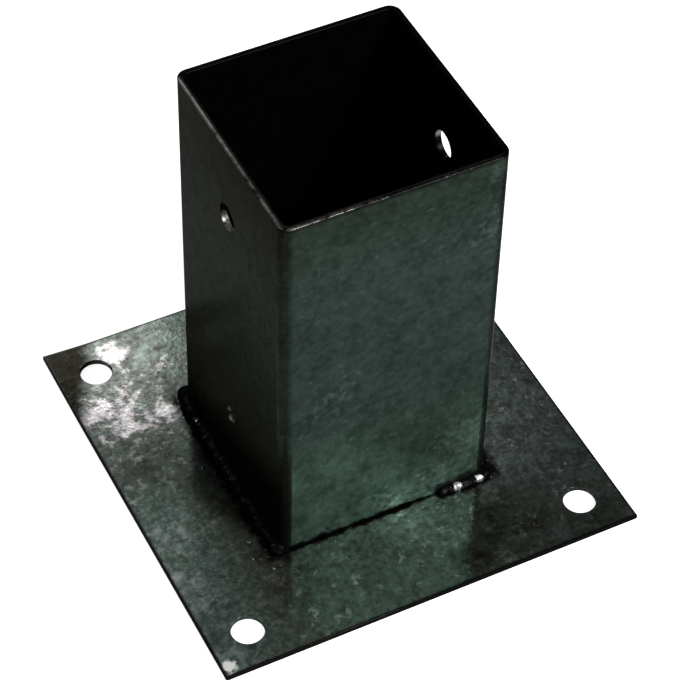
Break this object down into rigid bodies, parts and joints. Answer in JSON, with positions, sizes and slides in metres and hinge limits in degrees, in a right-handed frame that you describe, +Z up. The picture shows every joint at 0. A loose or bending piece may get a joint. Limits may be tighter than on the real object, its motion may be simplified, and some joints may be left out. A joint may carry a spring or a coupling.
{
  "type": "timber post base",
  "caption": "Square steel sleeve welded upright on a flat anchor plate with holes in its corners, taking the foot of a timber post that a cross bolt holds.",
  "frame": {"origin": "middle of the plate's underside", "axes": "+Z up the post, +X along the cross bolt, +Y towards the back wall"},
  "size_m": [0.15, 0.15, 0.15],
  "materials": {
    "coated_plate": "semi-gloss black coating, mottled",
    "coated_sleeve": "semi-gloss black coating, mottled",
    "coated_weld": "lumpy weld bead under glossy black coating"
  },
  "bodies": {
    "root": {"base_plate": "coated_plate", "post_sleeve": "coated_sleeve", "weld_left": "coated_weld", "weld_right": "coated_weld", "weld_front": "coated_weld", "weld_back": "coated_weld"}
  },
  "joints": []
}
